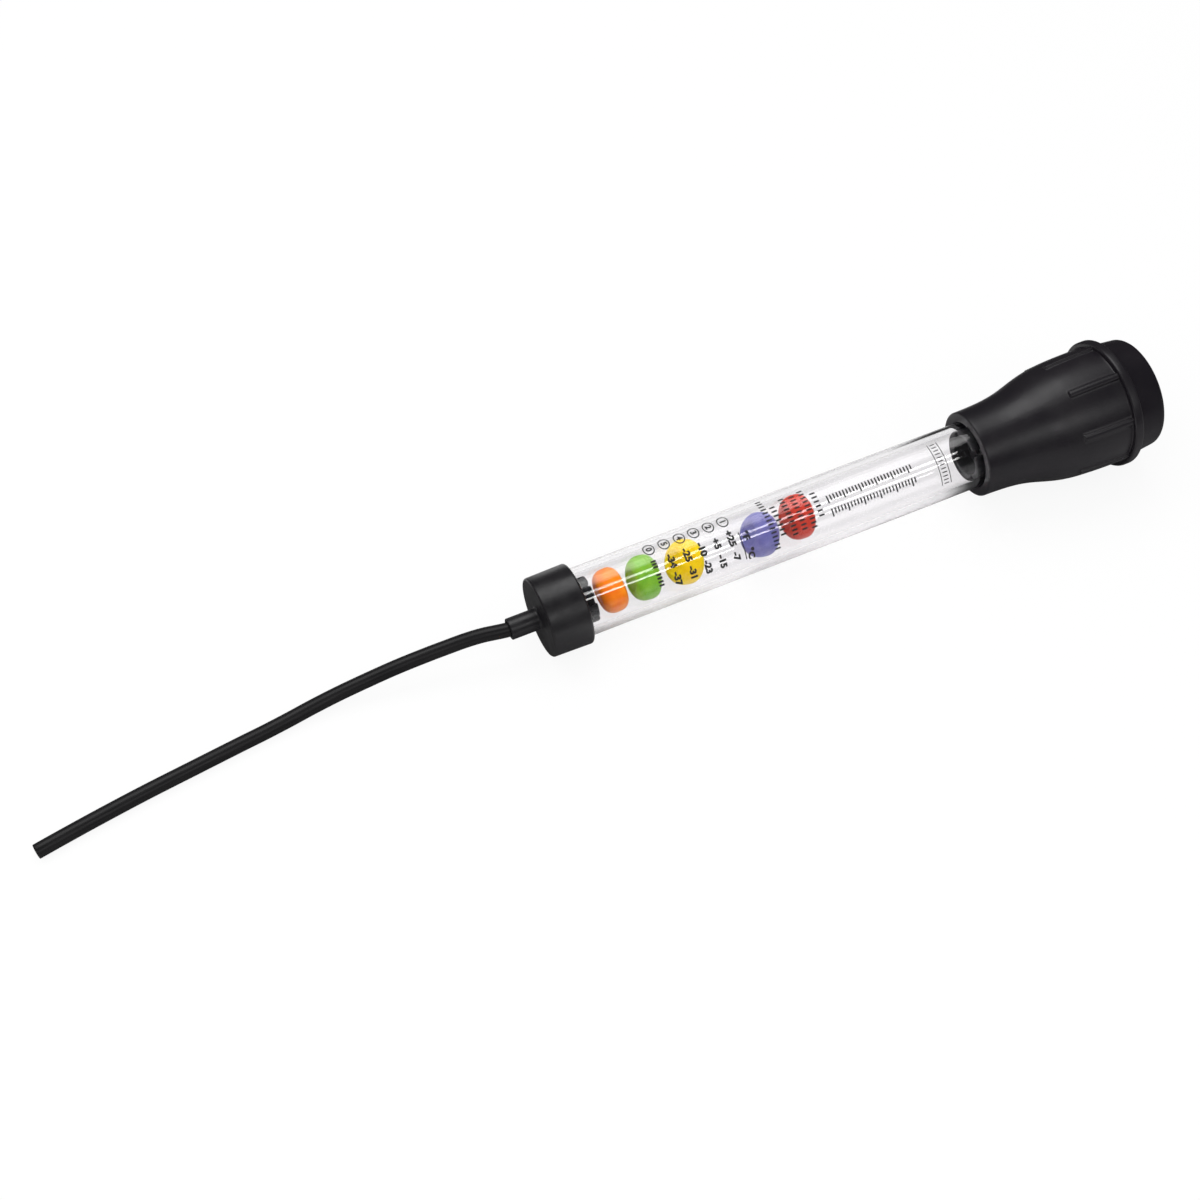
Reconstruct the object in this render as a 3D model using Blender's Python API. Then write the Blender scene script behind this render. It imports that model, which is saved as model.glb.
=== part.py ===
"""Antifreeze tester: a clear barrel with five float discs, an inlet cap with its siphon hose, and a squeeze bulb.

Metres, +Z up. The tester lies on its inlet cap and on the bulb's flange, with the hose towards -X.
Stations are measured along the tester's own axis, from the front face of the inlet cap towards the bulb.
An outline is a list of corners, each (radius from the axis, station, rounding of the corner).
"""
from math import atan2, cos, pi, radians, sin, sqrt, tan, tanh

import bmesh
import bpy
from mathutils import Vector

# Fits and facets
SEAT_GAP = 0.0003
MERGE_DISTANCE = 0.000001
CUTTER_OVERRUN = 0.001
LARGE_SEGMENTS = 48
SMALL_SEGMENTS = 32
FEWEST_ROUNDING_STEPS = 2
ROUNDING_PER_STEP = 0.0016

# Barrel, a moulded clear tube
BARREL_DIAMETER = 0.0261
BARREL_WALL = 0.0028
BARREL_LENGTH = 0.196
BARREL_EDGE = 0.0004

# Inlet cap, pressed over the barrel's lower end, with a spigot for the hose
CAP_LENGTH = 0.0152
CAP_WALL = 0.00225
CAP_END_WALL = 0.0033
CAP_EDGE = 0.0008
SPIGOT_LENGTH = 0.0124
SPIGOT_WALL = 0.00105
SPIGOT_EDGE = 0.0004
HOSE_SEAT_DEPTH = 0.010

# Siphon hose
HOSE_DIAMETER = 0.0055
HOSE_BORE = 0.0036
HOSE_SIDES_RESOLUTION = 2
HOSE_POINT_SPACING_DIAMETERS = 2

# Inlet strainer, a plug in the barrel's lower end whose crown holds the floats off the inlet
STRAINER_COLLAR = 0.0014
CROWN_CLEARANCE = 0.0015
CROWN_STAND = 0.00475
CROWN_LENGTH = 0.0055
CROWN_WALL = 0.0025
CUP_DEPTH = 0.010
SLOT_WIDTH = 0.0022
SLOT_DEPTH = 0.0026
SLOT_COUNT = 8

# Float discs, thick tablets with full edges
FLOAT_CLEARANCE = 0.0016
FLOAT_THICKNESS = 0.010
FLOAT_EDGE = 0.0042
FLOAT_NAMES = ("float_orange", "float_green", "float_yellow", "float_blue", "float_red")
FLOAT_COLOURS = (
    (0.87, 0.19, 0.02),
    (0.16, 0.48, 0.05),
    (0.91, 0.61, 0.02),
    (0.14, 0.16, 0.52),
    (0.72, 0.05, 0.03),
)
FLOAT_LEANS = (radians(-5), radians(8), radians(26), radians(24), radians(8))
# How far up the bore's far side each float has rolled, as an angle from straight down
FLOAT_ROLLS = (radians(45), radians(45), radians(45), radians(22), radians(88))
# The free length below each float at rest, as a share of the barrel's whole free length
FLOAT_REST_GAP_SHARES = (0.0297, 0.0249, 0.0447, 0.1810, 0.0378)

# Float stop, a perforated plug in the barrel's upper end, with a slotted rim towards the floats
STOP_STAND = 0.0018
STOP_COLLAR = 0.0014
STOP_RIM_WALL = 0.0022
STOP_CUP_DEPTH = 0.0060
STOP_SLOT_WIDTH = 0.0022
STOP_SLOT_DEPTH = 0.0043
STOP_SLOT_COUNT = 4
STOP_SLOT_PHASE = radians(40)
STOP_PLATE = 0.0018
STOP_WALL = 0.0016
STOP_HOLE_DIAMETER = 0.0034
STOP_HOLE_COUNT = 6
STOP_HOLE_CIRCLE_SHARE = 0.6

# Squeeze bulb, a hollow rubber moulding
NECK_GRIP = 0.0225
NECK_WALL = 0.0035
NECK_EDGE = 0.0010
BULB_LENGTH = 0.0627
BULB_WALL = 0.0027
SHOULDER_RADIUS = 0.0235
FLANGE_STAND = 0.0020
FLANGE_THICKNESS = 0.0038
FLANGE_EDGE = 0.0007
BULB_STEPS = 14
SWELL_MIDDLE_SHARE = 0.413
SWELL_SPREAD_SHARE = 0.1834
SEAT_RIB_HEIGHT = 0.0013
SEAT_RIB_WIDTH = 0.0020

# Grip ribs on the bulb
RIB_COUNT = 8
RIB_PHASE = radians(17)
RIB_WIDTH = 0.0025
RIB_STAND = 0.0009
RIB_LENGTH = 0.0208
RIB_RAMP = 0.0008
RIB_STEPS = 6

# End cap that closes the bulb
TAIL_LENGTH = 0.0121
TAIL_INSET = 0.0006
TAIL_DRAFT = 0.0013
TAIL_EDGE = 0.0020
SKIRT_DEPTH = 0.0055
SKIRT_WALL = 0.0024

# Stations and radii that follow from the sizes
barrel_radius = BARREL_DIAMETER / 2
bore_radius = barrel_radius - BARREL_WALL
socket_radius = barrel_radius + SEAT_GAP
collar_radius = barrel_radius
plug_radius = bore_radius - SEAT_GAP
hose_radius = HOSE_DIAMETER / 2
spigot_bore = hose_radius + SEAT_GAP
spigot_radius = spigot_bore + SPIGOT_WALL
cap_radius = socket_radius + CAP_WALL
strainer_base = CAP_END_WALL + SEAT_GAP
barrel_bottom = strainer_base + STRAINER_COLLAR + SEAT_GAP
barrel_top = barrel_bottom + BARREL_LENGTH
crown_top = CAP_LENGTH + CROWN_STAND
crown_radius = bore_radius - CROWN_CLEARANCE
float_radius = bore_radius - FLOAT_CLEARANCE
collar_top = barrel_top + SEAT_GAP + STOP_COLLAR
seat_rib_face = collar_top + SEAT_GAP
bulb_front = barrel_top - NECK_GRIP
stop_face = bulb_front - STOP_STAND
stop_plate_face = stop_face + STOP_CUP_DEPTH
stop_plate_back = stop_plate_face + STOP_PLATE
bulb_back = bulb_front + BULB_LENGTH
flange_front = bulb_back - FLANGE_THICKNESS
flange_radius = SHOULDER_RADIUS + FLANGE_STAND
cavity_radius = SHOULDER_RADIUS - BULB_WALL
tail_front = bulb_back + SEAT_GAP
tail_back = tail_front + TAIL_LENGTH
tail_radius = SHOULDER_RADIUS - TAIL_INSET

# How the tester lies: the axis rises towards the bulb, because the flange is wider than the cap
flat_share = cos(pi / LARGE_SEGMENTS)
lean_run = flange_front + FLANGE_EDGE - CAP_EDGE
axis_rise = atan2((flange_radius - cap_radius) * flat_share, lean_run)
axis_height = cap_radius * flat_share * cos(axis_rise) - CAP_EDGE * sin(axis_rise)
front_reach = -SPIGOT_LENGTH * cos(axis_rise) - (spigot_radius - SPIGOT_EDGE) * sin(axis_rise)
tail_flat = tail_radius - TAIL_DRAFT - TAIL_EDGE
back_reach = tail_back * cos(axis_rise) + tail_flat * sin(axis_rise)
axis_start = -(front_reach + back_reach) / 2

# The hose's route, a free hose that lies on the surface: points chosen by hand, from its seat in the spigot
HOSE_ROUTE = (
    (-0.1237, 0.0000, 0.01541),
    (-0.1285, 0.0000, 0.01521),
    (-0.1334, 0.0000, 0.01500),
    (-0.1378, 0.0003, 0.0148),
    (-0.1430, 0.0014, 0.0143),
    (-0.1490, 0.0027, 0.0136),
    (-0.1550, 0.0037, 0.0128),
    (-0.1640, 0.0047, 0.0113),
    (-0.1755, 0.0054, 0.0093),
    (-0.1870, 0.0058, 0.0071),
    (-0.1980, 0.0056, 0.0053),
    (-0.2083, 0.0050, 0.0039),
    (-0.2179, 0.0038, 0.0031),
    (-0.2274, 0.0023, 0.0029),
    (-0.2369, 0.0008, 0.0029),
    (-0.2554, -0.0021, 0.0029),
    (-0.2737, -0.0050, 0.0029),
    (-0.2917, -0.0083, 0.0029),
    (-0.3051, -0.0110, 0.0029),
    (-0.3140, -0.0129, 0.0029),
)


def clear_scene():
    for old in list(bpy.data.objects):
        bpy.data.objects.remove(old, do_unlink=True)


def finish_of(name, colour, roughness, alpha=1.0, transmission=0.0):
    material = bpy.data.materials.new(name)
    material.use_nodes = True
    shader = material.node_tree.nodes["Principled BSDF"]
    shader.inputs["Base Color"].default_value = (*colour, 1.0)
    shader.inputs["Roughness"].default_value = roughness
    shader.inputs["Metallic"].default_value = 0.0
    shader.inputs["Alpha"].default_value = alpha
    shader.inputs["Transmission Weight"].default_value = transmission
    material.diffuse_color = (*colour, alpha)
    return material


def softened(corners, closed):
    """The outline through these corners, with an arc in place of each corner that has a rounding."""
    points = []
    for i, (radius, station, rounding) in enumerate(corners):
        corner = Vector((radius, station))
        at_end = not closed and i in (0, len(corners) - 1)
        if at_end or rounding == 0:
            points.append(corner)
            continue
        before = Vector(corners[i - 1][:2]) - corner
        after = Vector(corners[(i + 1) % len(corners)][:2]) - corner
        half_angle = before.angle(after) / 2
        inward = (before.normalized() + after.normalized()).normalized()
        centre = corner + inward * rounding / sin(half_angle)
        run = rounding / tan(half_angle)
        first = corner + before.normalized() * run - centre
        last = corner + after.normalized() * run - centre
        sweep = first.angle(last)
        steps = FEWEST_ROUNDING_STEPS + int(rounding / ROUNDING_PER_STEP)
        for step in range(steps + 1):
            part = step / steps
            arc = first * sin((1 - part) * sweep) + last * sin(part * sweep)
            points.append(centre + arc / sin(sweep))
    return points


def turned(name, corners, segments, closed):
    """A turned solid. Its flats face straight down, so that it can lie on one."""
    mesh = bpy.data.meshes.new(name)
    shape = bmesh.new()
    half_step = pi / segments
    ring = [
        shape.verts.new((point.x * cos(half_step), point.x * sin(half_step), point.y))
        for point in softened(corners, closed)
    ]
    pairs = list(zip(ring, ring[1:])) + ([(ring[-1], ring[0])] if closed else [])
    edges = [shape.edges.new(pair) for pair in pairs]
    bmesh.ops.spin(
        shape, geom=ring + edges, cent=(0, 0, 0), axis=(0, 0, 1), angle=2 * pi, steps=segments, use_merge=True
    )
    bmesh.ops.remove_doubles(shape, verts=shape.verts, dist=MERGE_DISTANCE)
    bmesh.ops.recalc_face_normals(shape, faces=shape.faces)
    shape.to_mesh(mesh)
    shape.free()
    return bpy.data.objects.new(name, mesh)


def placed(piece, material, station=0.0):
    """Puts a piece on the tester's axis, at a station along it."""
    bpy.context.scene.collection.objects.link(piece)
    piece.data.materials.append(material)
    piece.parent = tester_axis
    piece.location = (0, 0, station)
    piece.data.shade_smooth()
    piece.data.set_sharp_from_angle(angle=radians(35))
    return piece


def as_cutter(cutter):
    bpy.context.scene.collection.objects.link(cutter)
    cutter.parent = tester_axis
    cutter.hide_render = True
    cutter.display_type = "WIRE"
    return cutter


def combine(piece, other, operation):
    modifier = piece.modifiers.new(operation.lower(), "BOOLEAN")
    modifier.operation = operation
    modifier.object = other
    modifier.solver = "EXACT"


def make_axis():
    """The tester's axis: an empty whose +Z runs from the inlet cap to the bulb, and whose +X faces down."""
    axis = bpy.data.objects.new("tester_axis", None)
    bpy.context.scene.collection.objects.link(axis)
    axis.location = (axis_start, 0, axis_height)
    axis.rotation_euler = (0, pi / 2 - axis_rise, 0)
    return axis


def make_barrel(material):
    corners = [
        (bore_radius, barrel_bottom, BARREL_EDGE),
        (barrel_radius, barrel_bottom, BARREL_EDGE),
        (barrel_radius, barrel_top, BARREL_EDGE),
        (bore_radius, barrel_top, BARREL_EDGE),
    ]
    return placed(turned("barrel", corners, LARGE_SEGMENTS, closed=True), material)


def make_inlet_cap(material):
    seat = -SPIGOT_LENGTH + HOSE_SEAT_DEPTH
    corners = [
        (HOSE_BORE / 2, CAP_END_WALL, 0),
        (socket_radius, CAP_END_WALL, 0),
        (socket_radius, CAP_LENGTH, SPIGOT_EDGE),
        (cap_radius, CAP_LENGTH, CAP_EDGE),
        (cap_radius, 0, CAP_EDGE),
        (spigot_radius, 0, SPIGOT_EDGE),
        (spigot_radius, -SPIGOT_LENGTH, SPIGOT_EDGE),
        (spigot_bore, -SPIGOT_LENGTH, SPIGOT_EDGE),
        (spigot_bore, seat, 0),
        (HOSE_BORE / 2, seat, 0),
    ]
    return placed(turned("inlet_cap", corners, LARGE_SEGMENTS, closed=True), material)


def make_strainer(material):
    crown_base = crown_top - CROWN_LENGTH
    cup_radius = crown_radius - CROWN_WALL
    corners = [
        (HOSE_BORE / 2, strainer_base, 0),
        (collar_radius, strainer_base, 0),
        (collar_radius, strainer_base + STRAINER_COLLAR, 0),
        (plug_radius, strainer_base + STRAINER_COLLAR, 0),
        (plug_radius, crown_base, SPIGOT_EDGE),
        (crown_radius, crown_base, 0),
        (crown_radius, crown_top, SPIGOT_EDGE),
        (cup_radius, crown_top, SPIGOT_EDGE),
        (cup_radius, crown_top - CUP_DEPTH, 0),
        (HOSE_BORE / 2, crown_top - CUP_DEPTH, 0),
    ]
    strainer = placed(turned("inlet_strainer", corners, SMALL_SEGMENTS, closed=True), material)
    slots = slot_bars("crown_slot_bars", crown_radius, CROWN_WALL, SLOT_WIDTH, SLOT_COUNT, 0.0)
    slots.location.z = crown_top - SLOT_DEPTH
    slots.scale.z = SLOT_DEPTH + CUTTER_OVERRUN
    combine(strainer, as_cutter(slots), "DIFFERENCE")
    return strainer


def slot_bars(name, radius, wall, width, count, phase):
    """A ring of bars, one metre tall until scaled, that each cut a slot through a crown's wall."""
    mesh = bpy.data.meshes.new(name)
    bars = bmesh.new()
    outer = radius + CUTTER_OVERRUN
    inner = sqrt((radius - wall) ** 2 - (width / 2) ** 2) - SEAT_GAP
    for bar in range(count):
        turn = phase + 2 * pi * bar / count
        along = Vector((cos(turn), sin(turn), 0))
        across = Vector((-sin(turn), cos(turn), 0)) * width / 2
        base = [
            bars.verts.new(along * reach + across * hand)
            for reach, hand in ((inner, -1), (outer, -1), (outer, 1), (inner, 1))
        ]
        grown = bmesh.ops.extrude_face_region(bars, geom=[bars.faces.new(base)])
        lifted = [v for v in grown["geom"] if isinstance(v, bmesh.types.BMVert)]
        bmesh.ops.translate(bars, verts=lifted, vec=(0, 0, 1))
    bmesh.ops.recalc_face_normals(bars, faces=bars.faces)
    bars.to_mesh(mesh)
    bars.free()
    return bpy.data.objects.new(name, mesh)


def float_reach(lean):
    """How far a leaning float reaches along the axis, each way from its centre."""
    flat = float_radius - FLOAT_EDGE
    return flat * sin(abs(lean)) + (FLOAT_THICKNESS / 2 - FLOAT_EDGE) * cos(lean) + FLOAT_EDGE


def float_girth(lean):
    """How far a leaning float reaches across the axis, each way from its centre."""
    flat = float_radius - FLOAT_EDGE
    return flat * cos(lean) + (FLOAT_THICKNESS / 2 - FLOAT_EDGE) * sin(abs(lean)) + FLOAT_EDGE


def float_stations():
    """Where each float's centre is at rest, and the free length that all of them share."""
    reaches = [float_reach(lean) for lean in FLOAT_LEANS]
    free_length = stop_face - crown_top - 2 * sum(reaches)
    stations, face = [], crown_top
    for reach, share in zip(reaches, FLOAT_REST_GAP_SHARES):
        stations.append(face + share * free_length + reach)
        face = stations[-1] + reach
    return stations, free_length


def make_float(name, station, lean, roll, material):
    """A float disc. Its origin is on the barrel's axis, and the disc lies off it, against the bore."""
    corners = [
        (0, -FLOAT_THICKNESS / 2, 0),
        (float_radius, -FLOAT_THICKNESS / 2, FLOAT_EDGE),
        (float_radius, FLOAT_THICKNESS / 2, FLOAT_EDGE),
        (0, FLOAT_THICKNESS / 2, 0),
    ]
    disc = turned(name, corners, SMALL_SEGMENTS, closed=False)
    play = bore_radius * flat_share - float_girth(lean) - SEAT_GAP
    tilt = bmesh.new()
    tilt.from_mesh(disc.data)
    swing = Vector((0, 0, 1)).rotation_difference(Vector((sin(lean), 0, cos(lean)))).to_matrix()
    bmesh.ops.rotate(tilt, verts=tilt.verts, cent=(0, 0, 0), matrix=swing)
    bmesh.ops.translate(tilt, verts=tilt.verts, vec=(play * cos(roll), play * sin(roll), 0))
    tilt.to_mesh(disc.data)
    tilt.free()
    return placed(disc, material, station)


def make_float_stop(material):
    collar_face = barrel_top + SEAT_GAP
    corners = [
        (0, stop_plate_face, 0),
        (plug_radius - STOP_RIM_WALL, stop_plate_face, 0),
        (plug_radius - STOP_RIM_WALL, stop_face, SPIGOT_EDGE),
        (plug_radius, stop_face, SPIGOT_EDGE),
        (plug_radius, collar_face, 0),
        (collar_radius, collar_face, 0),
        (collar_radius, collar_top, 0),
        (plug_radius - STOP_WALL, collar_top, 0),
        (plug_radius - STOP_WALL, stop_plate_back, 0),
        (0, stop_plate_back, 0),
    ]
    stop = placed(turned("float_stop", corners, SMALL_SEGMENTS, closed=False), material)
    combine(stop, as_cutter(make_stop_drills()), "DIFFERENCE")
    bars = (STOP_SLOT_WIDTH, STOP_SLOT_COUNT, STOP_SLOT_PHASE)
    slots = slot_bars("stop_slot_bars", plug_radius, STOP_RIM_WALL, *bars)
    slots.location.z = stop_face - CUTTER_OVERRUN
    slots.scale.z = STOP_SLOT_DEPTH + CUTTER_OVERRUN
    combine(stop, as_cutter(slots), "DIFFERENCE")
    return stop


def make_stop_drills():
    mesh = bpy.data.meshes.new("stop_drills")
    drills = bmesh.new()
    circle = (plug_radius - STOP_WALL) * STOP_HOLE_CIRCLE_SHARE
    places = [Vector((0, 0, 0))]
    for hole in range(STOP_HOLE_COUNT):
        turn = 2 * pi * hole / STOP_HOLE_COUNT
        places.append(Vector((cos(turn), sin(turn), 0)) * circle)
    middle = Vector((0, 0, stop_plate_face + STOP_PLATE / 2))
    for place in places:
        made = bmesh.ops.create_cone(
            drills,
            cap_ends=True,
            segments=SMALL_SEGMENTS // 2,
            radius1=STOP_HOLE_DIAMETER / 2,
            radius2=STOP_HOLE_DIAMETER / 2,
            depth=STOP_PLATE + 2 * CUTTER_OVERRUN,
        )
        bmesh.ops.translate(drills, verts=made["verts"], vec=place + middle)
    drills.to_mesh(mesh)
    drills.free()
    return bpy.data.objects.new("stop_drills", mesh)


def bulb_radius(station):
    """The bulb's outer radius: it swells from the neck to the shoulder in one smooth ogee."""
    neck_radius = socket_radius + NECK_WALL
    middle = bulb_front + SWELL_MIDDLE_SHARE * BULB_LENGTH
    swell = (1 + tanh((station - middle) / (SWELL_SPREAD_SHARE * BULB_LENGTH))) / 2
    return neck_radius + (SHOULDER_RADIUS - neck_radius) * swell


def make_bulb(material):
    """One closed outline: up the outside, round the flange, and back down the cavity, the seat rib and the neck."""
    seat_rib_back = seat_rib_face + SEAT_RIB_WIDTH
    outside_run = (flange_front - bulb_front) / BULB_STEPS
    inside_run = (flange_front - seat_rib_back) / BULB_STEPS
    outside = [bulb_front + outside_run * step for step in range(1, BULB_STEPS)]
    inside = [flange_front - inside_run * step for step in range(0, BULB_STEPS, 2)]
    corners = [(socket_radius, bulb_front, 0), (bulb_radius(bulb_front), bulb_front, NECK_EDGE)]
    corners += [(bulb_radius(station), station, 0) for station in outside]
    corners += [
        (bulb_radius(flange_front), flange_front, 0),
        (flange_radius, flange_front, FLANGE_EDGE),
        (flange_radius, bulb_back, FLANGE_EDGE),
        (cavity_radius, bulb_back, 0),
    ]
    corners += [(bulb_radius(station) - BULB_WALL, station, 0) for station in inside]
    corners += [
        (bulb_radius(seat_rib_back) - BULB_WALL, seat_rib_back, 0),
        (socket_radius - SEAT_RIB_HEIGHT, seat_rib_back, 0),
        (socket_radius - SEAT_RIB_HEIGHT, seat_rib_face, 0),
        (socket_radius, seat_rib_face, 0),
    ]
    bulb = placed(turned("squeeze_bulb", corners, LARGE_SEGMENTS, closed=True), material)
    combine(bulb, as_cutter(make_ribs()), "UNION")
    return bulb


def make_ribs():
    """The grip ribs: bars that follow the ogee, blunt towards the neck, and run into the flange."""
    mesh = bpy.data.meshes.new("grip_ribs")
    ribs = bmesh.new()
    start, end = flange_front - RIB_LENGTH, flange_front + FLANGE_THICKNESS / 2
    stations = [start + (end - start) * step / RIB_STEPS for step in range(RIB_STEPS + 1)]
    crest = [(bulb_radius(start) + RIB_STAND / 2, start)]
    crest += [(bulb_radius(start + RIB_RAMP) + RIB_STAND, start + RIB_RAMP)]
    crest += [(bulb_radius(station) + RIB_STAND, station) for station in stations[1:]]
    root = [(bulb_radius(station) - BULB_WALL / 2, station) for station in reversed(stations)]
    for rib in range(RIB_COUNT):
        turn = RIB_PHASE + 2 * pi * rib / RIB_COUNT
        outward = Vector((cos(turn), sin(turn), 0))
        across = Vector((-sin(turn), cos(turn), 0)) * RIB_WIDTH
        side = [
            ribs.verts.new(outward * radius - across / 2 + Vector((0, 0, station)))
            for radius, station in crest + root
        ]
        face = ribs.faces.new(side)
        grown = bmesh.ops.extrude_face_region(ribs, geom=[face])
        moved = [v for v in grown["geom"] if isinstance(v, bmesh.types.BMVert)]
        bmesh.ops.translate(ribs, verts=moved, vec=across)
    bmesh.ops.recalc_face_normals(ribs, faces=ribs.faces)
    ribs.to_mesh(mesh)
    ribs.free()
    return bpy.data.objects.new("grip_ribs", mesh)


def make_end_cap(material):
    skirt_radius = cavity_radius - SEAT_GAP
    cup_radius = skirt_radius - SKIRT_WALL
    corners = [
        (0, tail_back, 0),
        (tail_radius - TAIL_DRAFT, tail_back, TAIL_EDGE),
        (tail_radius, tail_front, 0),
        (skirt_radius, tail_front, 0),
        (skirt_radius, bulb_back - SKIRT_DEPTH, SPIGOT_EDGE),
        (cup_radius, bulb_back - SKIRT_DEPTH, SPIGOT_EDGE),
        (cup_radius, tail_back - BULB_WALL, TAIL_EDGE),
        (0, tail_back - BULB_WALL, 0),
    ]
    return placed(turned("bulb_end_cap", corners, LARGE_SEGMENTS, closed=False), material)


def smooth_route(points, spacing):
    """Points at an even spacing along a Catmull-Rom curve through the route."""
    fine_steps = 16
    ends = [points[0] * 2 - points[1], *points, points[-1] * 2 - points[-2]]
    curve = []
    for a, b, c, d in zip(ends, ends[1:], ends[2:], ends[3:]):
        for step in range(fine_steps):
            t = step / fine_steps
            bend = (a - b * 3 + c * 3 - d) * -t * t * t + (a * 2 - b * 5 + c * 4 - d) * t * t
            curve.append(b + (bend + (c - a) * t) / 2)
    curve.append(points[-1])
    runs = [(q - p).length for p, q in zip(curve, curve[1:])]
    count = max(2, round(sum(runs) / spacing))
    step, even, walked = sum(runs) / count, [curve[0]], 0.0
    for p, q, run in zip(curve, curve[1:], runs):
        while len(even) < count and walked + run >= step * len(even):
            even.append(p.lerp(q, (step * len(even) - walked) / run))
        walked += run
    return [*even, curve[-1]], sum(runs)


def make_hose(material):
    """The siphon hose, plugged into the spigot and lying on the surface."""
    route = [Vector(point) for point in HOSE_ROUTE]
    points, length = smooth_route(route, HOSE_POINT_SPACING_DIAMETERS * HOSE_DIAMETER)
    curve = bpy.data.curves.new("siphon_hose", "CURVE")
    curve.dimensions = "3D"
    curve.bevel_depth = hose_radius
    curve.bevel_resolution = HOSE_SIDES_RESOLUTION
    curve.use_fill_caps = True
    spline = curve.splines.new("POLY")
    spline.points.add(len(points) - 1)
    for knot, point in zip(spline.points, points):
        knot.co = (*point, 1)
    hose = bpy.data.objects.new("siphon_hose", curve)
    bpy.context.scene.collection.objects.link(hose)
    curve.materials.append(material)
    print("hose length", round(length, 4))
    return hose


def on_axis(station, down=0.0):
    """A place in the world: a station on the axis, and a distance from it towards the surface below."""
    x = axis_start + station * cos(axis_rise) + down * sin(axis_rise)
    z = axis_height + station * sin(axis_rise) - down * cos(axis_rise)
    return round(x, 5), 0.0, round(z, 5)


def report_places(stations, free_length):
    print("axis", round(cos(axis_rise), 6), 0, round(sin(axis_rise), 6), "rise", axis_rise)
    reaches = [float_reach(lean) for lean in FLOAT_LEANS]
    up = (1 - sum(FLOAT_REST_GAP_SHARES)) * free_length / len(reaches)
    for name, station, reach, share in zip(FLOAT_NAMES, stations, reaches, FLOAT_REST_GAP_SHARES):
        down = share * free_length
        print(name, on_axis(station), "reach", round(reach, 5), "down", round(down, 5), "up", round(up, 5))
    print("free length", free_length, "last float top", stations[-1] + reaches[-1], "stop face", stop_face)
    print("spigot tip", on_axis(-SPIGOT_LENGTH), "hose seat", on_axis(HOSE_SEAT_DEPTH - SPIGOT_LENGTH))
    print("tail end centre", on_axis(tail_back), "cap face", on_axis(0), "cap radius", cap_radius)
    print("barrel", on_axis(barrel_bottom), on_axis(barrel_top))
    print("stop cup", on_axis(stop_face), on_axis(stop_plate_face), "behind its plate", on_axis(stop_plate_back))
    print("strainer cup", on_axis(crown_top - CUP_DEPTH), on_axis(crown_top))
    print("cavity from", on_axis(seat_rib_face + SEAT_RIB_WIDTH), "to", on_axis(bulb_back - SKIRT_DEPTH))


def build():
    clear = finish_of("clear_acrylic", (0.93, 0.95, 0.96), 0.05, alpha=0.35, transmission=1.0)
    black_plastic = finish_of("black_plastic", (0.02, 0.02, 0.022), 0.45)
    black_rubber = finish_of("black_rubber", (0.018, 0.018, 0.02), 0.6)
    make_inlet_cap(black_plastic)
    make_strainer(black_plastic)
    make_barrel(clear)
    stations, free_length = float_stations()
    floats = zip(FLOAT_NAMES, stations, FLOAT_LEANS, FLOAT_ROLLS, FLOAT_COLOURS)
    for name, station, lean, roll, colour in floats:
        make_float(name, station, lean, roll, finish_of(name, colour, 0.4))
    make_float_stop(black_plastic)
    make_bulb(black_rubber)
    make_end_cap(black_rubber)
    make_hose(black_rubber)
    report_places(stations, free_length)


clear_scene()
tester_axis = make_axis()
build()
bpy.context.view_layer.update()
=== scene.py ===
from math import cos, pi, radians, sin, tan, tanh

import bmesh
import bpy
from mathutils import Matrix, Vector


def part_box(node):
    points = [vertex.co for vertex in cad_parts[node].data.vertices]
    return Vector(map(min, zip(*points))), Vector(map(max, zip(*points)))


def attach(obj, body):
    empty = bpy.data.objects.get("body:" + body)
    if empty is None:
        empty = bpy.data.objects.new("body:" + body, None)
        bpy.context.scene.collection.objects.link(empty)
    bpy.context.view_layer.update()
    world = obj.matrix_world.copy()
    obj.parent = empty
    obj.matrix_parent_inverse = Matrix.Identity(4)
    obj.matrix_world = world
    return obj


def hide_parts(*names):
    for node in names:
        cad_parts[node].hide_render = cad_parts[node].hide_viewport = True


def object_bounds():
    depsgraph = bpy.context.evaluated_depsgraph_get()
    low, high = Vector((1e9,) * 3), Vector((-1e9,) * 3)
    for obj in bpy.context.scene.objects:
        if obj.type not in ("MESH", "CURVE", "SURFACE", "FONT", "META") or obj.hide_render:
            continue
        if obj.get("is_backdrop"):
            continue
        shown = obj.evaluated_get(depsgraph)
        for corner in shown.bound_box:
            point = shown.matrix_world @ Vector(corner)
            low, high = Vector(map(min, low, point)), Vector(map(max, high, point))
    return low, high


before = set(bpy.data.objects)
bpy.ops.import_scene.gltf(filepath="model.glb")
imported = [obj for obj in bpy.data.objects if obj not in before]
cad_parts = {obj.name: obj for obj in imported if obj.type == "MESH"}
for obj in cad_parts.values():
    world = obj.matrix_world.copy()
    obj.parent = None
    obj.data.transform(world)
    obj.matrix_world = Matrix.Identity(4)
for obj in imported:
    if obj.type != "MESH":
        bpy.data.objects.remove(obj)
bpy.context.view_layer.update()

# Camera
# The photograph looks down on the tester from the hose side, through a fairly long lens.


def placed(name, data):
    """An object with this name and data, in the scene."""
    item = bpy.data.objects.new(name, data)
    bpy.context.scene.collection.objects.link(item)
    return item


camera = placed("camera", bpy.data.cameras.new("camera"))
camera.data.lens = 60
camera.data.sensor_width = 36
camera.location = (-0.2845, -0.4162, 0.5918)
camera.rotation_euler = (radians(38.28), 0, radians(-24.25))
bpy.context.scene.camera = camera
bpy.context.scene.view_settings.view_transform = "Standard"

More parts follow.
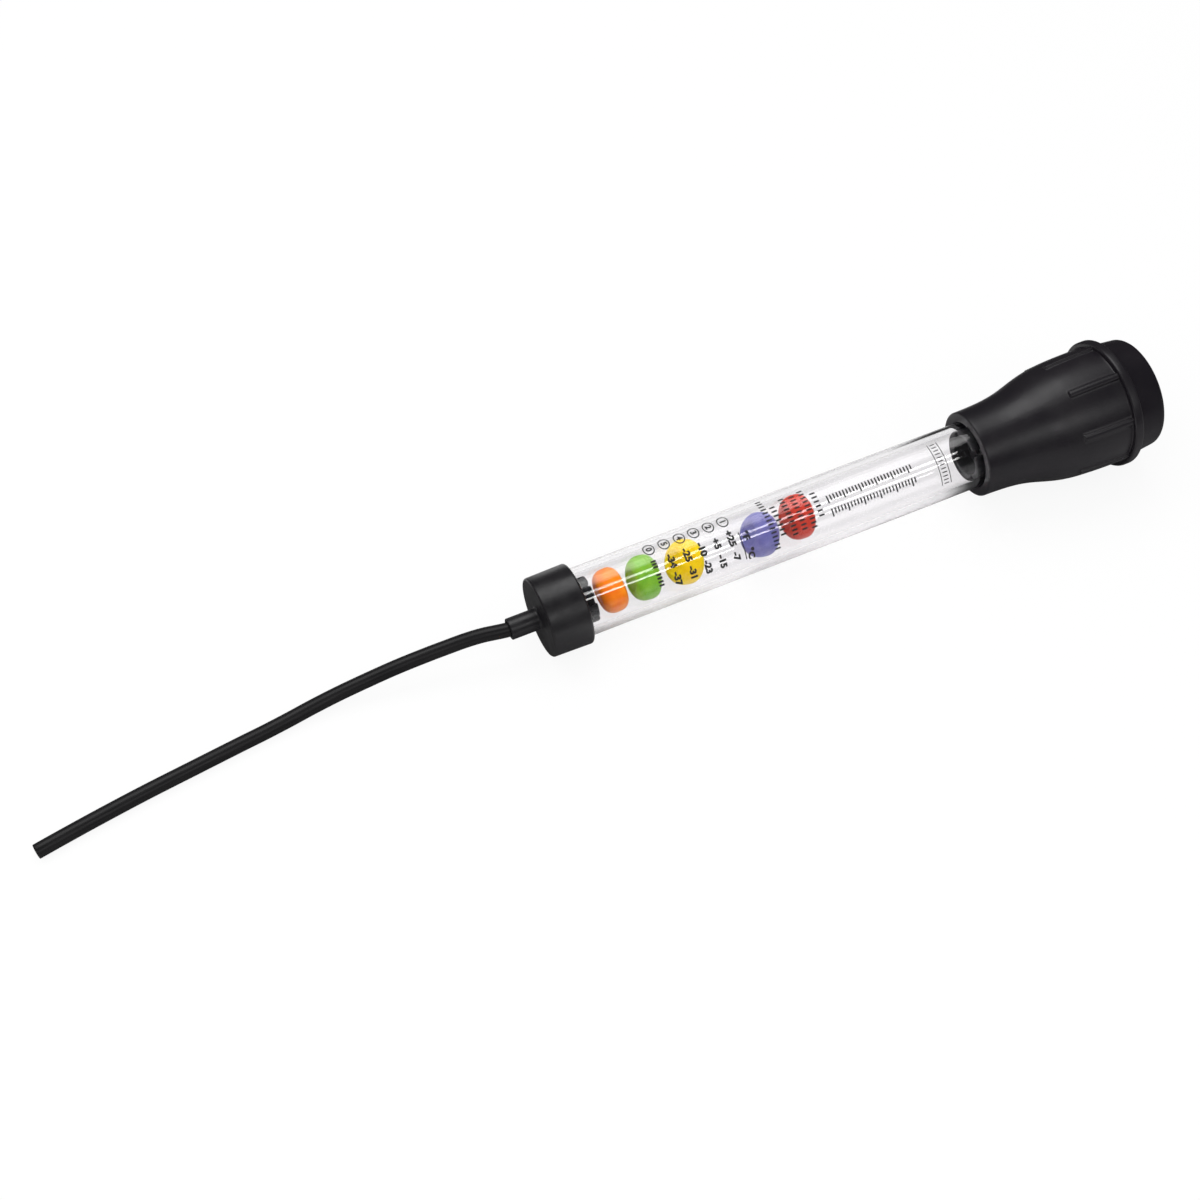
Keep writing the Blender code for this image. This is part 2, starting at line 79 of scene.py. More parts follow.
# Siphon hose
# A thin hose of black extruded rubber, pushed into the cap's spigot and cut off square at its free end.
# It comes straight out of the spigot, sinks to the surface and lies there in one long easy curve.
hose_diameter = 0.0055
hose_bore = 0.0036
hose_sides = 28
hose_step = 0.0026
hose_mouth_rounding = 0.00025
hose_mouth_depth = 0.012
hose_sharp_angle = radians(50)
hose_exit = (-0.1237, 0.0, 0.01541)
hose_route = [
    hose_exit,
    (-0.1285, 0.0000, 0.01521),
    (-0.1334, 0.0000, 0.01500),
    (-0.1378, 0.0004, 0.0153),
    (-0.1430, 0.0014, 0.0151),
    (-0.1490, 0.0025, 0.0141),
    (-0.1550, 0.0033, 0.0129),
    (-0.1640, 0.0042, 0.0113),
    (-0.1755, 0.0050, 0.0093),
    (-0.1870, 0.0054, 0.0071),
    (-0.1980, 0.0053, 0.0053),
    (-0.2083, 0.0046, 0.0039),
    (-0.2179, 0.0033, 0.0031),
    (-0.2274, 0.0018, 0.0029),
    (-0.2369, 0.0004, 0.0029),
    (-0.2554, -0.0025, 0.0029),
    (-0.2737, -0.0054, 0.0029),
    (-0.2917, -0.0087, 0.0029),
    (-0.3051, -0.0114, 0.0029),
    (-0.3140, -0.0133, 0.0029),
]


def evenly_along(route, spacing):
    """Points at an even spacing on the smooth curve through a route, and the curve's length."""
    fine_steps = 16
    route = [Vector(point) for point in route]
    ends = [route[0] * 2 - route[1], *route, route[-1] * 2 - route[-2]]
    curve = []
    for a, b, c, d in zip(ends, ends[1:], ends[2:], ends[3:]):
        for step in range(fine_steps):
            t = step / fine_steps
            bend = (a - b * 3 + c * 3 - d) * -t * t * t + (a * 2 - b * 5 + c * 4 - d) * t * t
            curve.append(b + (bend + (c - a) * t) / 2)
    curve.append(route[-1])
    runs = [(q - p).length for p, q in zip(curve, curve[1:])]
    length = sum(runs)
    count = round(length / spacing)
    stride = length / count
    even = [curve[0]]
    walked = 0.0
    for p, q, run in zip(curve, curve[1:], runs):
        while len(even) < count and walked + run >= stride * len(even):
            even.append(p.lerp(q, (stride * len(even) - walked) / run))
        walked += run
    return [*even, curve[-1]], length


def hose_hoops(path):
    """The hose's rings: each one's middle, way ahead, sideways direction and radius."""
    outer = hose_diameter / 2
    bore = hose_bore / 2
    forward = [(q - p).normalized() for p, q in zip(path, path[1:])]
    forward.append(forward[-1])
    side = Vector((0, 1, 0))
    hoops = []
    for point, ahead in zip(path, forward):
        side = (side - ahead * side.dot(ahead)).normalized()
        hoops.append((point, ahead, side, outer))
    # The free end is open: a rounded lip, and a bore that goes some way in
    mouth, ahead, side, outer = hoops.pop()
    lip = hose_mouth_rounding
    for reach, radius in (
        (-lip, outer),
        (-lip * 0.3, outer - lip * 0.3),
        (0, outer - lip),
        (0, bore + lip),
        (-lip * 0.3, bore + lip * 0.3),
        (-lip, bore),
        (-hose_mouth_depth, bore),
    ):
        hoops.append((mouth + ahead * reach, ahead, side, radius))
    return hoops


def smooth_mesh(name, shape, sharp_angle):
    """A mesh from a finished bmesh, shaded smooth but for edges that turn by more than this angle."""
    bmesh.ops.recalc_face_normals(shape, faces=shape.faces)
    mesh = bpy.data.meshes.new(name)
    shape.to_mesh(mesh)
    shape.free()
    mesh.shade_smooth()
    mesh.set_sharp_from_angle(angle=sharp_angle)
    return mesh


def hose_mesh(name, path):
    """A hose along a path, with a map that gives each place its way round and along the hose."""
    tube = bmesh.new()
    along_hose = tube.loops.layers.uv.new("along_hose")
    turns = [2 * pi * i / hose_sides for i in range(hose_sides)]
    rings = []
    for middle, ahead, side, radius in hose_hoops(path):
        up = side.cross(ahead)
        rings.append([tube.verts.new(middle + (side * cos(t) + up * sin(t)) * radius) for t in turns])
    for number, (near, far) in enumerate(zip(rings, rings[1:])):
        for i in range(hose_sides):
            j = (i + 1) % hose_sides
            face = tube.faces.new((near[i], near[j], far[j], far[i]))
            for loop, (turn, step) in zip(face.loops, ((i, 0), (i + 1, 0), (i + 1, 1), (i, 1))):
                loop[along_hose].uv = (turn / hose_sides, (number + step) * hose_step)
    tube.faces.new(rings[0])
    tube.faces.new(rings[-1])
    return smooth_mesh(name, tube, hose_sharp_angle)


def add_node(look, kind, inputs=(), **settings):
    """A node in a material or the world. Each input gets a plain value or another node's output."""
    made = look.node_tree.nodes.new(kind)
    for setting, value in settings.items():
        setattr(made, setting, value)
    for socket, value in dict(inputs).items():
        if isinstance(value, bpy.types.NodeSocket):
            look.node_tree.links.new(value, made.inputs[socket])
        else:
            made.inputs[socket].default_value = value
    return made


def ranged(look, value, low, high, to_low=0.0, to_high=1.0):
    """A value taken from one range to another, and held at the ends."""
    ends = {"From Min": low, "From Max": high, "To Min": to_low, "To Max": to_high}
    return add_node(look, "ShaderNodeMapRange", {"Value": value, **ends}).outputs["Result"]


def new_finish(name, roughness, sockets=()):
    """A material whose even values stand on its shader's own sockets."""
    material = bpy.data.materials.new(name)
    material.use_nodes = True
    shader = material.node_tree.nodes["Principled BSDF"]
    shader.inputs["Roughness"].default_value = roughness
    for socket, value in dict(sockets).items():
        shader.inputs[socket].default_value = value
    return material, shader


def soft_patches(material, place, scale):
    """Soft cloudy patches over a surface, between 0 and 1."""
    inputs = {"Vector": place, "Scale": scale, "Detail": 4.0, "Roughness": 0.6}
    return add_node(material, "ShaderNodeTexNoise", inputs).outputs["Fac"]


def mottle(material, shader, place, light, dark, scale):
    """Lets the colour drift between two shades in soft patches."""
    ramp = add_node(material, "ShaderNodeValToRGB", {"Fac": soft_patches(material, place, scale)})
    for stop, position, shade in zip(ramp.color_ramp.elements, (0.32, 0.68), (dark, light)):
        stop.position = position
        stop.color = (*shade, 1)
    material.node_tree.links.new(ramp.outputs["Color"], shader.inputs["Base Color"])


def uneven_gloss(material, shader, place, dull, glossy, scale):
    """Lets the roughness drift between two values in soft patches."""
    roughness = ranged(material, soft_patches(material, place, scale), 0.3, 0.7, glossy, dull)
    material.node_tree.links.new(roughness, shader.inputs["Roughness"])


def grain(material, shader, place, scale, height, strength, detail=3.0):
    """Fine relief in the skin of a moulding."""
    inputs = {"Vector": place, "Scale": scale, "Detail": detail, "Roughness": 0.55}
    bumps = add_node(material, "ShaderNodeTexNoise", inputs).outputs["Fac"]
    inputs = {"Height": bumps, "Strength": strength, "Distance": height}
    relief = add_node(material, "ShaderNodeBump", inputs)
    material.node_tree.links.new(relief.outputs["Normal"], shader.inputs["Normal"])


def extruded_rubber():
    """Black hose rubber: satin, with fine lines along its length from the die."""
    material, shader = new_finish("extruded_rubber", 0.36, {"Specular IOR Level": 0.3})
    along = add_node(material, "ShaderNodeUVMap", uv_map="along_hose").outputs["UV"]
    stretched = {"Vector": along, "Scale": (16, 30, 1)}
    lines = add_node(material, "ShaderNodeMapping", stretched).outputs["Vector"]
    mottle(material, shader, lines, light=(0.013, 0.012, 0.013), dark=(0.006, 0.006, 0.007), scale=1.5)
    uneven_gloss(material, shader, lines, dull=0.46, glossy=0.30, scale=2.2)
    grain(material, shader, lines, scale=3.0, height=0.00004, strength=0.5)
    return material


hose_path, hose_length = evenly_along(hose_route, hose_step)
siphon_hose = placed("siphon_hose_tube", hose_mesh("siphon_hose_tube", hose_path))
siphon_hose.data.materials.append(extruded_rubber())
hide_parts("siphon_hose")
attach(siphon_hose, "tester")

# Inlet cap
# A round cup of black moulded plastic, with a spigot for the hose in its end wall.
# It is pressed over the barrel's lower end and grips it along its whole depth.
seat_gap = 0.0003
barrel_radius = 0.01305
cap_radius = 0.0156
cap_front_radius = 0.0153
cap_front = -0.0007
cap_length = 0.0152
cap_end_wall = 0.0033
cap_edge = 0.0009
spigot_radius = 0.0041
spigot_length = 0.0124
spigot_bore = hose_diameter / 2 + seat_gap
spigot_edge = 0.0004
spigot_root = 0.0010
spigot_seat = -0.0024
guard_reach = 0.00015
weld_reach = 0.000001
turned_sharp_angle = radians(35)
# The tester's own axis starts at the cap's face and climbs towards the bulb. Stations are counted along it.
axis_rise = 0.0415535
axis_start = (-0.12098, 0, 0.01552)
tester_axis = Matrix.Translation(axis_start) @ Matrix.Rotation(pi / 2 - axis_rise, 4, "Y")


def softened(corners, steps=6):
    """An outline of (radius, station, rounding) corners, with an arc in place of each rounded one."""
    points = []
    for i, (radius, station, rounding) in enumerate(corners):
        corner = Vector((radius, station))
        if rounding == 0:
            points.append(corner)
            continue
        before = Vector(corners[i - 1][:2]) - corner
        after = Vector(corners[(i + 1) % len(corners)][:2]) - corner
        half_angle = before.angle(after) / 2
        inward = (before.normalized() + after.normalized()).normalized()
        centre = corner + inward * rounding / sin(half_angle)
        run = rounding / tan(half_angle)
        first = corner + before.normalized() * run - centre
        last = corner + after.normalized() * run - centre
        sweep = first.angle(last)
        for step in range(steps + 1):
            part = step / steps
            arc = first * sin((1 - part) * sweep) + last * sin(part * sweep)
            points.append(centre + arc / sin(sweep))
    return points


def with_guards(outline, closed):
    """The outline with a place just inside each end of its straight runs, so that they shade flat."""
    guarded = []
    following = outline[1:] + outline[:1]
    for here, there in zip(outline, following):
        guarded.append(here)
        run = there - here
        if run.length > guard_reach * 4 and (closed or here is not outline[-1]):
            inset = run.normalized() * guard_reach
            guarded += [here + inset, there - inset]
    return guarded


def turned(name, outline, segments, closed):
    """A smooth turned piece on the tester's axis, from its outline."""
    shape = bmesh.new()
    ring = [shape.verts.new((point.x, 0, point.y)) for point in with_guards(outline, closed)]
    pairs = list(zip(ring, ring[1:])) + ([(ring[-1], ring[0])] if closed else [])
    edges = [shape.edges.new(pair) for pair in pairs]
    around = {"cent": (0, 0, 0), "axis": (0, 0, 1), "angle": 2 * pi, "steps": segments}
    bmesh.ops.spin(shape, geom=ring + edges, use_merge=True, **around)
    bmesh.ops.remove_doubles(shape, verts=shape.verts, dist=weld_reach)
    piece = placed(name, smooth_mesh(name, shape, turned_sharp_angle))
    piece.matrix_world = tester_axis
    return piece


def own_place(material):
    """Each point's place in its piece's own frame."""
    return add_node(material, "ShaderNodeTexCoord").outputs["Object"]


def moulded_plastic():
    """Black moulded plastic: an even satin skin with a faint spark texture."""
    material, shader = new_finish("moulded_plastic", 0.36, {"Specular IOR Level": 0.62})
    place = own_place(material)
    mottle(material, shader, place, light=(0.010, 0.009, 0.0115), dark=(0.006, 0.005, 0.007), scale=90)
    uneven_gloss(material, shader, place, dull=0.45, glossy=0.28, scale=160)
    grain(material, shader, place, scale=1500, height=0.00003, strength=0.4)
    return material


cap_outline = softened(
    [
        (hose_bore / 2, cap_end_wall, 0),
        (barrel_radius + seat_gap, cap_end_wall, 0),
        (barrel_radius + seat_gap, cap_length, spigot_edge),
        (cap_radius, cap_length, cap_edge),
        (cap_front_radius, cap_front, cap_edge),
        (spigot_radius, cap_front, spigot_root),
        (spigot_radius, -spigot_length, spigot_edge),
        (spigot_bore, -spigot_length, spigot_edge),
        (spigot_bore, spigot_seat, 0),
        (hose_bore / 2, spigot_seat, 0),
    ]
)
inlet_cap = turned("inlet_cap_moulding", cap_outline, segments=128, closed=True)
inlet_cap.data.materials.append(moulded_plastic())
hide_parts("inlet_cap")
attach(inlet_cap, "tester")

# Inlet strainer
# A castellated plug of the same black plastic in the barrel's lower end.
# Its crown stands out past the cap's rim and holds the discs off the inlet.


def rough_plastic(name, gloss):
    """Black plastic off a rough mould: duller than the cap's."""
    material, shader = new_finish(name, 0.5, {"Specular IOR Level": gloss})
    place = own_place(material)
    mottle(material, shader, place, light=(0.010, 0.010, 0.013), dark=(0.005, 0.005, 0.007), scale=120)
    grain(material, shader, place, scale=1500, height=0.00004, strength=0.5)
    return material


def refinish(piece, material):
    """Gives a piece that stays as the CAD has it a finish of its own."""
    piece.data.materials.clear()
    piece.data.materials.append(material)


inlet_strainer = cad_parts["inlet_strainer"]
strainer_plastic = rough_plastic("strainer_plastic", gloss=0.1)
refinish(inlet_strainer, strainer_plastic)

# Strainer liner
# A thin dark sleeve of the same plastic, pushed into the strainer's crown.
# It closes the inner ends of the slots, so that no light comes through them.
liner_radius = 0.0062
liner_wall = 0.0005
liner_bottom = 0.0105
liner_top = 0.0198
liner_edge = 0.0001
liner_outline = softened(
    [
        (liner_radius - liner_wall, liner_bottom, liner_edge),
        (liner_radius, liner_bottom, liner_edge),
        (liner_radius, liner_top, liner_edge),
        (liner_radius - liner_wall, liner_top, liner_edge),
    ],
    steps=2,
)
strainer_liner = turned("strainer_liner", liner_outline, segments=64, closed=True)
strainer_liner.data.materials.append(strainer_plastic)
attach(strainer_liner, "tester")

# Barrel
# A thick-walled tube moulded in clear plastic, open at both ends, with its edges just broken.
# Its ends stand in the cap and in the bulb's neck, which hold it by their grip.
barrel_bore = 0.01025
barrel_bottom = 0.0053
barrel_top = 0.2013
barrel_edge = 0.0004


def clear_plastic():
    """Clear moulded plastic: polished, with the long faint waves of a drawn core."""
    sockets = {"Transmission Weight": 1.0, "IOR": 1.49, "Base Color": (0.985, 0.988, 0.992, 1)}
    material, shader = new_finish("clear_plastic", 0.015, sockets)
    place = own_place(material)
    stretched = {"Vector": place, "Scale": (1, 1, 0.08)}
    waves = add_node(material, "ShaderNodeMapping", stretched).outputs["Vector"]
    mottle(material, shader, place, light=(0.957, 0.949, 0.958), dark=(0.934, 0.923, 0.935), scale=60)
    grain(material, shader, waves, scale=420, height=0.00003, strength=0.04, detail=1.0)
    # Lamplight goes straight through the wall to what is inside it
    open_wall = add_node(material, "ShaderNodeBsdfTransparent", {"Color": (0.93, 0.93, 0.93, 1)})
    to_a_lamp = add_node(material, "ShaderNodeLightPath").outputs["Is Shadow Ray"]
    either = {"Fac": to_a_lamp, 1: shader.outputs["BSDF"], 2: open_wall.outputs["BSDF"]}
    wall = add_node(material, "ShaderNodeMixShader", either).outputs["Shader"]
    material.node_tree.links.new(wall, material.node_tree.nodes["Material Output"].inputs["Surface"])
    return material


barrel_outline = softened(
    [
        (barrel_bore, barrel_bottom, barrel_edge),
        (barrel_radius, barrel_bottom, barrel_edge),
        (barrel_radius, barrel_top, barrel_edge),
        (barrel_bore, barrel_top, barrel_edge),
    ],
    steps=3,
)
barrel = turned("barrel_tube", barrel_outline, segments=160, closed=True)
barrel.data.materials.append(clear_plastic())
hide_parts("barrel")
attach(barrel, "tester")

# Printed scale
# Black ink on the outside of the barrel, read with the bulb held up: for each number of discs
# that float, the freezing point in two scales. Plain rules and ticks fill the rest.
ink_stand = 0.00004
ink_radius = barrel_radius + ink_stand
ink_places = []
ink_faces = []
# A numeral's height as a share of its font's size
digit_share = 0.73
digit_stretch = 1.18
digit_height = 0.0025
digit_weight = 0.0002
ring_angle = radians(171.6)
ring_stations = (0.0448, 0.0509, 0.0571, 0.0629, 0.0689, 0.0748)
ring_numerals = ("0", "5", "4", "3", "2", "1")
ring_digit_height = 0.0023
ring_digit_weight = 0.00014
ring_radius = 0.0022
ring_stroke = 0.00042
ring_stretch = 1.28
ring_sides = 40
row_stations = (0.0505, 0.0567, 0.0628, 0.0687, 0.0744)
first_row = ("-34", "-25", "-10", "+5", "+25")
first_row_angle = radians(205.6)
second_row = ("-37", "-31", "-23", "-15", "-7")
second_row_angle = radians(236.5)
degree_station = 0.0801
degree_weight = 0.00018
bar_step = 0.0008


def print_shape(places, faces, station, angle):
    """Adds a flat shape to the print, laid round the barrel: x goes round it and y towards the bulb."""
    start = len(ink_places)
    for x, y in places:
        turn = angle + x / ink_radius
        ink_places.append((ink_radius * cos(turn), ink_radius * sin(turn), station + y))
    ink_faces.extend([start + corner for corner in face] for face in faces)


def print_words(words, station, angle, height, weight):
    """Prints numerals with their middle at this place. Their strokes grow by the weight."""
    letters = bpy.data.curves.new("ink", "FONT")
    letters.body = words
    letters.size = height / digit_share
    letters.offset = weight
    letters.align_x = "CENTER"
    letters.align_y = "CENTER"
    letters.resolution_u = 4
    sheet = placed("ink", letters)
    flat = bpy.data.meshes.new_from_object(sheet.evaluated_get(bpy.context.evaluated_depsgraph_get()))
    bpy.data.objects.remove(sheet)
    places = [(v.co.x * digit_stretch, v.co.y) for v in flat.vertices]
    print_shape(places, [p.vertices for p in flat.polygons], station, angle)


def print_ring(station, angle):
    """Prints a plain ring, drawn out round the barrel as the numerals are."""
    places = []
    for i in range(ring_sides):
        turn = 2 * pi * i / ring_sides
        for radius in (ring_radius, ring_radius - ring_stroke):
            places.append((cos(turn) * radius * ring_stretch, sin(turn) * radius))
    count = len(places)
    faces = [(i, (i + 2) % count, (i + 3) % count, i + 1) for i in range(0, count, 2)]
    print_shape(places, faces, station, angle)


def print_bar(station, angle, round_way, up_way):
    """Prints a rule or a tick: round_way wide round the barrel, up_way tall along it."""
    steps = max(1, round(round_way / bar_step))
    places = []
    for i in range(steps + 1):
        x = (i / steps - 0.5) * round_way
        places += [(x, -up_way / 2), (x, up_way / 2)]
    faces = [(2 * i, 2 * i + 2, 2 * i + 3, 2 * i + 1) for i in range(steps)]
    print_shape(places, faces, station, angle)


for numeral, station in zip(ring_numerals, ring_stations):
    print_ring(station, ring_angle)
    print_words(numeral, station, ring_angle, ring_digit_height, ring_digit_weight)
for left, right, station in zip(first_row, second_row, row_stations):
    print_words(left, station, first_row_angle, digit_height, digit_weight)
    print_words(right, station, second_row_angle, digit_height, digit_weight)
# No reading beside the nought: ticks in place of each number
nought_station = 0.0441
for angle in (196, 201, 206, 219, 225, 231, 237):
    print_bar(nought_station, radians(angle), round_way=0.0008, up_way=0.0020)
# The line at the head of the two rows, and the two degree signs
head_station = 0.0780
print_bar(head_station, radians(224.5), round_way=0.0108, up_way=0.0004)
print_words("°F", degree_station, radians(209.5), digit_height, degree_weight)
print_words("°C", degree_station, radians(240.5), digit_height, degree_weight)
# Columns of ticks beside the upper discs: each one's station, and the angles that it starts and ends at
tick_columns = (
    (0.0908, 158, 250),
    (0.0942, 181, 230),
    (0.0988, 172, 237),
    (0.1028, 175, 234),
    (0.1067, 170, 237),
    (0.1106, 183, 223),
)
column_pitch = 6.8
for station, start, end in tick_columns:
    count = round((end - start) / column_pitch)
    for tick in range(count):
        angle = radians(start + (end - start) * tick / (count - 1))
        print_bar(station, angle, round_way=0.0007, up_way=0.0022)
# Two graduated rules along the clear length, each fifth tick a long one
rule_start = 0.1150
rule_pitch = 0.00135
for tick in range(27):
    reach = 0.0031 if tick % 5 == 0 else 0.0021
    for angle in (196.0, 219.0):
        middle = radians(angle) + reach / 2 / ink_radius
        print_bar(rule_start + rule_pitch * tick, middle, round_way=reach, up_way=0.0006)
# A fill mark round the barrel: two lines with a row of fine ticks between them
for station in (0.1604, 0.1642):
    print_bar(station, radians(212.5), round_way=0.0175, up_way=0.0003)
fill_mark_station = 0.1623
for tick in range(12):
    print_bar(fill_mark_station, radians(177 + 6.5 * tick), round_way=0.0004, up_way=0.0020)


def printing_ink():
    """Black pad-printing ink: dense and satin, a little uneven where it was laid."""
    material, shader = new_finish("printing_ink", 0.45)
    place = own_place(material)
    mottle(material, shader, place, light=(0.030, 0.029, 0.030), dark=(0.012, 0.012, 0.013), scale=500)
    return material


ink_mesh = bpy.data.meshes.new("printed_scale")
ink_mesh.from_pydata(ink_places, [], ink_faces)
printed_scale = placed("printed_scale", ink_mesh)
printed_scale.matrix_world = tester_axis
printed_scale.data.materials.append(printing_ink())
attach(printed_scale, "tester")

# Float discs
# Five loose tablets of coloured plastic with full round edges, each of a different density.
# They slide in the barrel, and stand on its lower wall with a little lean.
disc_radius = 0.00865
disc_thickness = 0.010
disc_edge = 0.0042
disc_dish = 0.0003
# Each disc's node, body, lean, and lighter and darker colour
disc_table = (
    ("float_orange", "orange_disc", radians(-5), (0.90, 0.25, 0.010), (0.80, 0.17, 0.006)),
    ("float_green", "green_disc", radians(8), (0.235, 0.50, 0.045), (0.16, 0.41, 0.03)),
    ("float_yellow", "yellow_disc", radians(26), (0.95, 0.67, 0.010), (0.88, 0.57, 0.006)),
    ("float_blue", "blue_disc", radians(24), (0.19, 0.19, 0.46), (0.145, 0.145, 0.38)),
    ("float_red", "red_disc", radians(8), (0.63, 0.072, 0.045), (0.51, 0.048, 0.03)),
)


def disc_plastic(name, light, dark):
    """Coloured float plastic: satin, and a little light goes into it."""
    inside = {"Subsurface Weight": 0.8, "Subsurface Scale": 0.009, "Subsurface Radius": (1.0, 0.7, 0.5)}
    material, shader = new_finish(name, 0.33, {**inside, "Specular IOR Level": 0.05})
    place = own_place(material)
    mottle(material, shader, place, light, dark, scale=260)
    uneven_gloss(material, shader, place, dull=0.40, glossy=0.27, scale=300)
    grain(material, shader, place, scale=900, height=0.00004, strength=0.3)
    return material


disc_outline = softened(
    [
        (0, -disc_thickness / 2 + disc_dish, 0),
        (disc_radius - disc_edge - disc_dish * 2, -disc_thickness / 2 + disc_dish, 0),
        (disc_radius - disc_edge, -disc_thickness / 2, 0),
        (disc_radius, -disc_thickness / 2, disc_edge),
        (disc_radius, disc_thickness / 2, disc_edge),
        (disc_radius - disc_edge, disc_thickness / 2, 0),
        (disc_radius - disc_edge - disc_dish * 2, disc_thickness / 2 - disc_dish, 0),
        (0, disc_thickness / 2 - disc_dish, 0),
    ],
    steps=14,
)
discs = []
for node, body, lean, light, dark in disc_table:
    disc = turned(node + "_disc", disc_outline, segments=96, closed=False)
    low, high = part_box(node)
    leaning = tester_axis.to_3x3().to_4x4() @ Matrix.Rotation(lean, 4, "Y")
    disc.matrix_world = Matrix.Translation((low + high) / 2) @ leaning
    disc.data.materials.append(disc_plastic(node + "_plastic", light, dark))
    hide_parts(node)
    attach(disc, body)
    discs.append(disc)

# Float stop
# A cup of black plastic, pushed into the barrel's upper end, with a slotted rim towards the discs.
# The holes in its floor let the coolant through to the bulb and keep the discs back.
float_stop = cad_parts["float_stop"]
refinish(float_stop, rough_plastic("stop_plastic", gloss=0.35))

# Squeeze bulb
# A hollow moulding of black rubber. Its neck grips the barrel, its body swells to a wide flange,
# and eight short ribs run into the flange, so that wet fingers can hold it.
bulb_front = 0.1788
bulb_length = 0.0627
bulb_wall = 0.0027
bulb_back = bulb_front + bulb_length
neck_wall = 0.0035
neck_radius = barrel_radius + seat_gap + neck_wall
neck_edge = 0.0007
lip_lead = 0.006
shoulder_radius = 0.0235
swell_middle = bulb_front + 0.413 * bulb_length
swell_spread = 0.1834 * bulb_length
skin_start = 0.002
skin_step = 0.0018
skin_steps = 30
skin_margin = 0.001
cavity_radius = shoulder_radius - bulb_wall
flange_radius = 0.0255
flange_thickness = 0.0038
flange_front = bulb_back - flange_thickness
flange_edge = 0.0009
flange_root = 0.0005
seat_rib_front = 0.2033
seat_rib_back = 0.2053
seat_rib_radius = 0.01205
rib_count = 8
rib_phase = radians(17)
rib_width = 0.0025
rib_stand = 0.0009
rib_length = 0.0208
rib_front = flange_front - rib_length
rib_blend = 0.0005
rib_tolerance = 0.0001
# Extra places along the skin where a rib rises out of it
rib_end_steps = (-0.0006, -0.0004, -0.0002, 0, 0.0002)
# Steps round the bulb: over each side of a rib, and over the skin between two ribs
flank_steps = 4
gap_steps = 12
bulb_sharp_angle = radians(60)


def bulb_radius(station):
    """The body's radius at a station: one smooth swell from the neck to the shoulder."""
    swell = (1 + tanh((station - swell_middle) / swell_spread)) / 2
    return neck_radius + (shoulder_radius - neck_radius) * swell


def bulb_outline():
    """The bulb's skin from its lip back to its rear face, and its hollow from there to the lip."""
    stations = [bulb_front + skin_start + skin_step * i for i in range(skin_steps)]
    stations = sorted(stations + [rib_front + step for step in rib_end_steps])
    beyond_lip = bulb_front + lip_lead
    before_flange = flange_front - skin_margin
    lip = [
        (barrel_radius + seat_gap, bulb_front, 0),
        (bulb_radius(bulb_front), bulb_front, neck_edge),
        (bulb_radius(beyond_lip), beyond_lip, 0),
    ]
    flange = [
        (bulb_radius(before_flange), before_flange, 0),
        (bulb_radius(flange_front), flange_front, flange_root),
        (flange_radius, flange_front, flange_edge),
        (flange_radius, bulb_back, flange_edge),
        (cavity_radius, bulb_back, 0),
    ]
    skin = softened(lip)[:-1] + [Vector((bulb_radius(s), s)) for s in stations] + softened(flange)
    in_body = [s for s in reversed(stations) if s > seat_rib_back + skin_margin]
    hollow = [Vector((bulb_radius(s) - bulb_wall, s)) for s in in_body]
    # A rib inside the neck seats on the float stop
    hollow += [
        Vector((bulb_radius(seat_rib_back) - bulb_wall, seat_rib_back)),
        Vector((seat_rib_radius, seat_rib_back)),
        Vector((seat_rib_radius, seat_rib_front)),
        Vector((barrel_radius + seat_gap, seat_rib_front)),
    ]
    return skin, hollow


def bulb_columns():
    """The columns that make up the bulb: each one's turn, and how far from its rib's middle it stands."""
    edge = rib_width / 2 + rib_blend / 2
    flank = [edge - rib_blend * i / flank_steps for i in range(flank_steps + 1)]
    across_rib = sorted([-c for c in flank] + flank + [0])
    sector = 2 * pi / rib_count
    edge_turn = edge / shoulder_radius
    between = [edge_turn + (sector - 2 * edge_turn) * i / gap_steps for i in range(1, gap_steps)]
    columns = []
    for rib in range(rib_count):
        middle = rib_phase + sector * rib
        columns += [(middle + across / shoulder_radius, across) for across in across_rib]
        columns += [(middle + turn, rib_width) for turn in between]
    return columns


def rib_share(along, across):
    """How much of its full height a rib has here: it rises in a short round step on all sides."""
    height = 1.0
    for inside in (along + rib_blend, rib_width / 2 + rib_blend / 2 - abs(across)):
        share = min(1, max(0, inside / rib_blend))
        height *= share * share * (3 - 2 * share)
    return height


def ribbed_radius(point, across):
    """The skin's radius at a place of its outline, raised where a rib runs."""
    radius, station = point
    along_rib = rib_front - skin_margin < station < flange_front + rib_tolerance
    if not along_rib or radius >= flange_radius - flange_edge:
        return radius
    raised = rib_stand * rib_share(station - rib_front, across)
    return max(radius, bulb_radius(min(station, flange_front)) + raised)


def bulb_mesh(name):
    """The bulb's outline, turned, with a rib raised in the rubber wherever one runs."""
    skin, hollow = bulb_outline()
    shape = bmesh.new()
    grid = []
    for turn, across in bulb_columns():
        column = [(ribbed_radius(point, across), point.y) for point in skin]
        column += [(point.x, point.y) for point in hollow]
        grid.append([shape.verts.new((r * cos(turn), r * sin(turn), station)) for r, station in column])
    for column, following in zip(grid, grid[1:] + grid[:1]):
        for i in range(len(column)):
            j = (i + 1) % len(column)
            shape.faces.new((column[i], following[i], following[j], column[j]))
    return smooth_mesh(name, shape, bulb_sharp_angle)


def bulb_rubber(name, gloss):
    """Black moulded rubber: a dry matt skin, with a soft bloom where it has been handled."""
    material, shader = new_finish(name, 0.36, {"Specular IOR Level": gloss})
    place = own_place(material)
    mottle(material, shader, place, light=(0.0115, 0.009, 0.0125), dark=(0.0065, 0.005, 0.0085), scale=45)
    uneven_gloss(material, shader, place, dull=0.46, glossy=0.29, scale=70)
    grain(material, shader, place, scale=1100, height=0.00005, strength=0.42)
    return material


